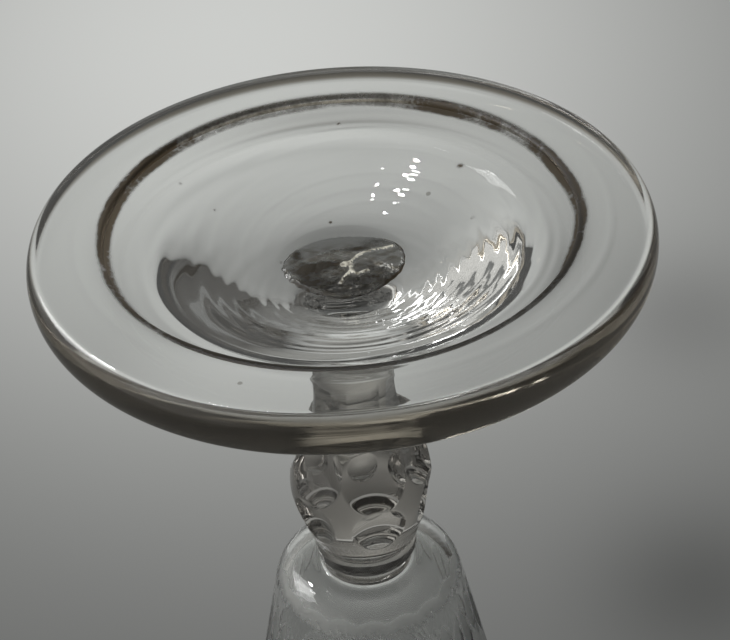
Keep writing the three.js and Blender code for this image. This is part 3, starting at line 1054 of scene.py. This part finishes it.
# %% Scar dirt and painted ridge highlight
def scar_film(x, y, share):
    """Film in patches all over the snapped face, less its far edge and the ridge."""
    clean = hill(distance_to_path(x, y, RIDGE), 0.6)
    patches = np.clip(3.2 * (lumps(x, y, 57, 6, (0.9, 2.6)) - 0.5), 0.05, 0.9)
    return patches * soft_step(y, -5.5, -2.5) * (1 - clean) * (share < 0.99)


def scar_dirt(x, y, angle, share):
    """Crust in a thin line round the edge, in the hollows and in the listed patches."""
    edge = 0.75 * hill(1 - share, 0.035) * (0.8 + 0.4 * waves(angle, 0, 54, 6, (1, 12), (1, 2)))
    dirt = edge + 0.45 * lumps(x, y, 55, 6, (0.7, 2.2)) ** 3 * soft_step(y, -4.5, -1)
    for across, along, wide, long, amount in CRUST:
        dirt += amount * hill(x - across, wide) * hill(y - along, long)
    return dirt * (1 - 0.9 * hill(distance_to_path(x, y, RIDGE), 0.45))


def paint_ridge_glint(piece):
    """Gives faces that are a ragged width from the ridge, its branch or its knot the third material, a
    painted highlight.
    """
    faces = piece.data.polygons
    centre, index = np.empty(3 * len(faces)), np.empty(len(faces), dtype=np.int32)
    faces.foreach_get("center", centre)
    faces.foreach_get("material_index", index)
    x, y = centre.reshape(-1, 3)[:, :2].T / MM
    knot = np.hypot(x - RIDGE_GLINT_KNOT[0], 1.3 * (y - RIDGE_GLINT_KNOT[1])) - KNOT_RADIUS
    near = np.minimum.reduce([distance_to_path(x, y, RIDGE), distance_to_path(x, y, BRANCH) + 0.1, knot])
    ragged = 0.5 * lumps(x, y, 58, 3, (0.9, 2.4)) + 0.35 * lumps(x, y, 59, 4, (0.25, 0.6)) - 0.27
    index[(near < ragged) & (index == 0)] = 2
    faces.foreach_set("material_index", index)


radius, height, angle, share, x, y = scar_grid()
rows = len(radius) - 1
draw_back(height, SCAR_RINGS - 1, rows, 1)
scar = grid_piece("snapped_pontil", radius, height, angle)
paint_faces(scar, rows, SCAR_COLUMNS, [(SCAR_RINGS - 1, rows)], ["high"])
give_values(scar, "grime", scar_dirt(x, y, angle, share))
give_values(scar, "film_and_shade", scar_film(x, y, share))
finish_piece(scar, "pontil_scar", "scar_glass", dirty_shaded_glass, fused, ridge_glint)
paint_ridge_glint(scar)

# %% [markdown]
# ## The neck
#
# The neck is a short waist that was ground to six flats, one below each column of cuts on the knop. A
# flat is where the radius is the inner circle's over the cosine, and it fades into the round foot.
# Neck, knop and merese are made alike: a side, a disc below it and one above, both fused.

# %% Neck
NECK_WAIST_RADIUS = 5.9
KNOP_BASE_RADIUS = 6.5
FLAT_DEPTH = 0.5
SIDES = 6
CUTS_TURNED = math.radians(12)
NECK_COLUMNS = 288
CAP_ROWS = 8
CAP_ROUND = 3
SECTOR = 2 * math.pi / SIDES
first_cut = math.pi / 2 - CUTS_TURNED
knop_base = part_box("knop")[0].z / MM


def from_cut(angle):
    """Angle from the middle of the nearest column of cuts."""
    return (angle - first_cut + SECTOR / 2) % SECTOR - SECTOR / 2


def flatten(radius, angle, share):
    """Takes off what lies outside six planes a little inside the round, by a share and off the cap."""
    flat = np.minimum(radius, (radius - FLAT_DEPTH) / np.cos(from_cut(angle)))
    return radius + (flat - radius) * share * (radius > CAP_ROUND)


def capped(side):
    """A side with a disc below it and one above, each drawn in nearly to the axis."""
    bottom = line((POLE_RADIUS, side[0][1]), side[0], CAP_ROWS)
    return joined(bottom, side, line(side[-1], (POLE_RADIUS, side[-1][1]), CAP_ROWS))


def neck_grid():
    """A side whose radius dips as a sine between its ends, with flats that fade in above the foot."""
    share = np.linspace(0, 1, 81)
    ends = FOOT_TOP_RADIUS + (KNOP_BASE_RADIUS - FOOT_TOP_RADIUS) * share
    outer = ends + (NECK_WAIST_RADIUS - ends) * np.sin(np.pi * share) ** 0.8
    side = np.stack([outer, neck_base + (knop_base - neck_base) * share], 1)
    radius, height, angle = turn(capped(side), NECK_COLUMNS)
    return flatten(radius, angle, soft_step(height, neck_base + 0.6, neck_base + 3)), height, angle


def stem_piece(name, node, grid, low=CAP_ROWS, high=CAP_ROWS):
    """A piece of thick glass that is fused to its neighbours by some rows at its bottom and its top."""
    radius, height, angle = grid
    rows, columns = len(radius) - 1, radius.shape[1]
    draw_back(height, 0, low, -1)
    draw_back(height, rows - high, rows, 1)
    piece = grid_piece(name, radius, height, angle)
    paint_faces(piece, rows, columns, [(0, low), (rows - high, rows)], ["low", "high"])
    finish_piece(piece, node, "stem_glass", thick_glass, fused)


stem_piece("waisted_neck", "stem_neck", neck_grid())

# %% [markdown]
# ## The knop
#
# The knop is a thick drop of glass with a shoulder, cut on a wheel with two rows of round hollows. Each
# hollow is part of a ball, so a point of the knop is as far out as its turned profile or the near side
# of the ball, whichever is less. A boolean cut would give the same shape with ragged shading.

# %% Knop
KNOP_SHOULDER = (9, 1.7)
KNOP_SWELL = (10.2, 6)
KNOP_RADIUS = 10.8
KNOP_WIDEST_AT = 11
KNOP_TAPER = (9.9, 15.6)
KNOP_TOP_RADIUS = 8.3
LARGE_CUT = {"ball": 11, "depth": 2.6, "height": 3}
SMALL_CUT = {"ball": 9, "depth": 1.8, "height": 12.6}
KNOP_COLUMNS = 384
KNOP_SPACING = 0.125
merese_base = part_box("knop")[1].z / MM
knop_length = merese_base - knop_base


def knop_curve():
    """The turned profile, with its height counted from the knop's base."""
    lower = [(KNOP_BASE_RADIUS, 0), KNOP_SHOULDER, KNOP_SWELL]
    upper = [(KNOP_RADIUS, KNOP_WIDEST_AT), KNOP_TAPER, (KNOP_TOP_RADIUS, knop_length)]
    return through(lower + upper, 400)


def ball_surface(cut, curve, angle, height):
    """Distance from the axis at which a level line meets the cutting ball, or a large value."""
    index = np.argmin(abs(curve[:, 1] - cut["height"]))
    tangent = curve[index + 1] - curve[index - 1]
    tangent /= np.linalg.norm(tangent)
    outward = np.array([tangent[1], -tangent[0]])
    centre = curve[index] + outward * (cut["ball"] - cut["depth"])
    off = from_cut(angle)
    rise = height - knop_base - centre[1]
    inside = cut["ball"] ** 2 - rise**2 - (centre[0] * np.sin(off)) ** 2
    return np.where(inside > 0, centre[0] * np.cos(off) - np.sqrt(np.maximum(inside, 0)), 1e3)


def knop_grid():
    """The turned knop with the neck's flats fading out at its base, less the balls of both rows."""
    curve = knop_curve()
    radius, height, angle = turn(capped(spread(curve, KNOP_SPACING) + [0, knop_base]), KNOP_COLUMNS)
    radius = flatten(radius, angle, 1 - soft_step(height, knop_base, knop_base + 1.2))
    for cut in (LARGE_CUT, SMALL_CUT):
        cut_radius = np.minimum(radius, ball_surface(cut, curve, angle, height))
        radius = np.where(radius > CAP_ROUND, cut_radius, radius)
    return radius, height, angle


stem_piece("lens_cut_knop", "knop", knop_grid())

# %% [markdown]
# ## The merese
#
# The merese is a flat collar with a softly rounded edge. The bowl's stub is narrower than the collar,
# so only the inner part of its top is fused.

# %% Merese
MERESE_RADIUS = 7.9
MERESE_EDGE = 0.7
STUB_RADIUS = 6.9
MERESE_COLUMNS = 256
MERESE_LOW_ROWS = 12
MERESE_HIGH_ROWS = 10
bowl_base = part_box("merese")[1].z / MM


def merese_grid():
    """Bottom disc, rounded edge, upright side, rounded edge, shelf beside the stub and fused disc."""
    low, high = merese_base, bowl_base
    flat = MERESE_RADIUS - MERESE_EDGE
    edge = (MERESE_EDGE, MERESE_EDGE)
    return turn(joined(
        line((POLE_RADIUS, low), (flat, low), MERESE_LOW_ROWS),
        arc((flat, low + MERESE_EDGE), edge, -math.pi / 2, 0, 8),
        line((MERESE_RADIUS, low + MERESE_EDGE), (MERESE_RADIUS, high - MERESE_EDGE), 12),
        arc((flat, high - MERESE_EDGE), edge, 0, math.pi / 2, 8),
        line((flat, high), (STUB_RADIUS, high), 2),
        line((STUB_RADIUS, high), (POLE_RADIUS, high), MERESE_HIGH_ROWS),
    ), MERESE_COLUMNS)


stem_piece("collar", "merese", merese_grid(), MERESE_LOW_ROWS, MERESE_HIGH_ROWS)

# %% [markdown]
# ## The bowl
#
# The bowl is a flared bucket with a thick base. Its outer wall is engraved, and an engraved line is a
# shallow ground groove that scatters light. A picture could hold the pattern, but here it is drawn with
# distances: each shape gives the distance to its edge, and the nearest shape wins. The mesh stores that
# distance out to half a millimetre on either side, and the material makes it a crisp, ragged edge.

# %% Bowl sizes
BOWL_RIM_RADIUS = 33
BOWL_FLARE = math.radians(11.5)
BOWL_WALL = 2.2
BOWL_CORNER = 6
BOWL_INNER_CORNER = 4.3
BOWL_FLOOR = 5.2
STUB_HEIGHT = 2.3
STUB_COVE = 1.2
BASE_RINGS = 5
COVE_RINGS = 8
WALL_RINGS = 136
BOWL_COLUMNS = 432
bowl_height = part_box("bowl")[1].z / MM - bowl_base


def inside_wall(height, set_in):
    """Centre of a circle that touches the outer wall line, set in from it, at a height."""
    wall = BOWL_RIM_RADIUS - (bowl_height - height) * math.tan(BOWL_FLARE)
    return np.array([wall - set_in / math.cos(BOWL_FLARE), height])


def bowl_profile():
    """Base, stub, cove, corner, wall, lip, inner wall, inner corner and floor; and the outside's end."""
    lip = BOWL_WALL / 2
    corner = inside_wall(STUB_HEIGHT + BOWL_CORNER, BOWL_CORNER)
    inner = inside_wall(BOWL_FLOOR + BOWL_INNER_CORNER, BOWL_WALL + BOWL_INNER_CORNER)
    cove_start = (STUB_RADIUS, STUB_HEIGHT - STUB_COVE)
    cove_end = (STUB_RADIUS + STUB_COVE, STUB_HEIGHT)
    outer_corner = arc(corner, (BOWL_CORNER, BOWL_CORNER), -math.pi / 2, -BOWL_FLARE, 22)
    lip_arc = arc(inside_wall(bowl_height - lip, lip), (lip, lip), -BOWL_FLARE, math.pi - BOWL_FLARE, 8)
    inner_corner = arc(inner, (BOWL_INNER_CORNER, BOWL_INNER_CORNER), -BOWL_FLARE, -math.pi / 2, 14)
    profile, ends = marked(
        line((POLE_RADIUS, 0), (STUB_RADIUS, 0), BASE_RINGS),
        line((STUB_RADIUS, 0), cove_start, 3),
        bend(cove_start, (STUB_RADIUS, STUB_HEIGHT), cove_end, COVE_RINGS - 3),
        line(cove_end, outer_corner[0], 3),
        outer_corner,
        line(outer_corner[-1], lip_arc[0], WALL_RINGS),
        lip_arc,
        line(lip_arc[-1], inner_corner[0], 12),
        inner_corner,
        line(inner_corner[-1], (POLE_RADIUS, BOWL_FLOOR), 6),
    )
    return profile + [0, bowl_base], ends[5] + 1


# %% [markdown]
# The engraving is common ornament: a ragged scalloped border and a ring of leaves at the bottom, a
# running scroll with leaves and flowers round the middle, and two lines with ovals under the rim. Each
# shape is worked out on the unrolled wall, where u runs round the glass and v up it, both in mm.

# %% Engraving sizes
BORDER = {"height": 67.2, "half": 0.85, "scallops": 18, "swing": 0.5}
BORDER_WOBBLE = 0.22
CALYX = {"leaves": 12, "height": 77.5, "length": 14, "width": 2.6}
SMALL_CALYX = {"drop": 2.5, "length": 8.4, "width": 1.3}
SCROLL = {"repeats": 6, "height": 110, "swing": 7.5, "half": 0.45}
# Share of a repeat, rise above the stem in mm, turn in degrees and length in mm.
SCROLL_LEAVES = [(0.06, 5.5, 60, 8.5), (0.17, 4.5, 25, 7.5), (0.33, 5.0, 150, 7.5), (0.44, 5.5, 120, 8.5)]
SCROLL_LEAF_WIDTH = 1.7
FLOWER = {"reach": 5.6, "petals": 6, "heart": 1.2, "drop": 5.5}
RIM_LINES = [(138.0, 0.35), (141.0, 0.35)]
OVALS = {"count": 30, "height": 147, "length": 6.5, "width": 1.5}
VEIN = 0.3
EDGE = 1.0
ENGRAVED_DEPTH = 0.12


# %% Engraving


def folded(angle, radius, count, shift=0.0):
    """Distance in mm round the glass from the nearest of some evenly spaced places."""
    step = 2 * np.pi / count
    return ((angle / step - shift + 0.5) % 1 - 0.5) * step * radius


def leaf(u, v, length, width, turned):
    """Distance to a pointed oval whose half width is w (1 - (a/h)^2) along its middle line."""
    tilt = math.radians(turned)
    a = u * math.cos(tilt) + v * math.sin(tilt)
    b = np.abs(v * math.cos(tilt) - u * math.sin(tilt))
    half = length / 2
    side = b - width * np.maximum(1 - (a / half) ** 2, 0)
    return np.where(np.abs(a) < half, side, np.hypot(np.abs(a) - half, b))


def veined(distance, u, v, turned):
    """A shape less a thin line along its middle."""
    tilt = math.radians(turned)
    return np.maximum(distance, VEIN - np.abs(v * math.cos(tilt) - u * math.sin(tilt)))


def flower(u, v):
    """Distance to petals whose reach swings with the direction, less a ring round the heart."""
    reach, way = np.hypot(u, v), np.arctan2(v, u)
    petals = reach - FLOWER["reach"] * (0.55 + 0.45 * np.abs(np.cos(way * FLOWER["petals"] / 2)))
    return np.maximum(petals, 0.35 - np.abs(reach - FLOWER["heart"] - 0.5))


def scroll(angle, radius, v):
    """Stem on a sine wave, leaves that leave it to both sides, and a flower in each of its hollows."""
    repeats, swing = SCROLL["repeats"], SCROLL["swing"]
    around = angle * repeats
    off = v - SCROLL["height"]
    slope = swing * repeats * np.cos(around) / radius
    shapes = [np.abs(off - swing * np.sin(around)) / np.hypot(1, slope) - SCROLL["half"]]
    for upward, shift in ((1, 0), (-1, 0.5)):
        u = folded(angle, radius, repeats, 0.25 + shift)
        shapes.append(flower(u, off + upward * FLOWER["drop"]))
        for place, rise, turned, length in SCROLL_LEAVES:
            u = folded(angle, radius, repeats, place + shift)
            above = off - upward * (swing * math.sin(2 * math.pi * place) + rise)
            shape = leaf(u, above, length, SCROLL_LEAF_WIDTH, upward * turned)
            shapes.append(veined(shape, u, above, upward * turned))
    return np.minimum.reduce(shapes)


def engraving(angle, radius, v):
    """Distance in mm to the nearest engraved shape, less than 0 inside it."""
    wobble = BORDER_WOBBLE * waves(angle, v, 61, 9, (20, 90), (0.8, 3))
    scallop = BORDER["swing"] * np.abs(np.sin(angle * BORDER["scallops"] / 2))
    border = np.abs(v - BORDER["height"] + scallop + wobble) - BORDER["half"] + wobble
    u = folded(angle, radius, CALYX["leaves"])
    off = v - CALYX["height"]
    calyx = veined(leaf(u, off, CALYX["length"], CALYX["width"], 90), u, off, 90)
    u = folded(angle, radius, CALYX["leaves"], 0.5)
    small = leaf(u, off + SMALL_CALYX["drop"], SMALL_CALYX["length"], SMALL_CALYX["width"], 90)
    lines = [np.abs(v - level) - half for level, half in RIM_LINES]
    u = folded(angle, radius, OVALS["count"])
    ovals = leaf(u, v - OVALS["height"], OVALS["length"], OVALS["width"], 90)
    return np.minimum.reduce([border, calyx, small, scroll(angle, radius, v), ovals] + lines)


# %% [markdown]
# Where the engraving says so, the wall is set back by about a tenth of a millimetre and frosted. The
# base and the cove below the corner carry none.

# %% Bowl
profile, outside = bowl_profile()
radius, height, angle = turn(profile, BOWL_COLUMNS)
frost = np.zeros_like(radius)
frost[:outside] = np.clip(0.5 - engraving(angle, radius, height)[:outside] / EDGE, 0, 1)
frost[:BASE_RINGS + COVE_RINGS + 1] = 0
radius -= ENGRAVED_DEPTH * soft_step(frost, 0.4, 0.7)
draw_back(height, 0, BASE_RINGS, -1)
bowl = grid_piece("engraved_bowl", radius, height, angle)
paint_faces(bowl, len(radius) - 1, BOWL_COLUMNS, [(0, BASE_RINGS)], ["low"])
give_values(bowl, "frost", frost)
finish_piece(bowl, "bowl", "bowl_glass", engraved_glass, fused)
print("engraved share of the wall:", round(float((frost[:outside] > 0.5).mean()), 2))
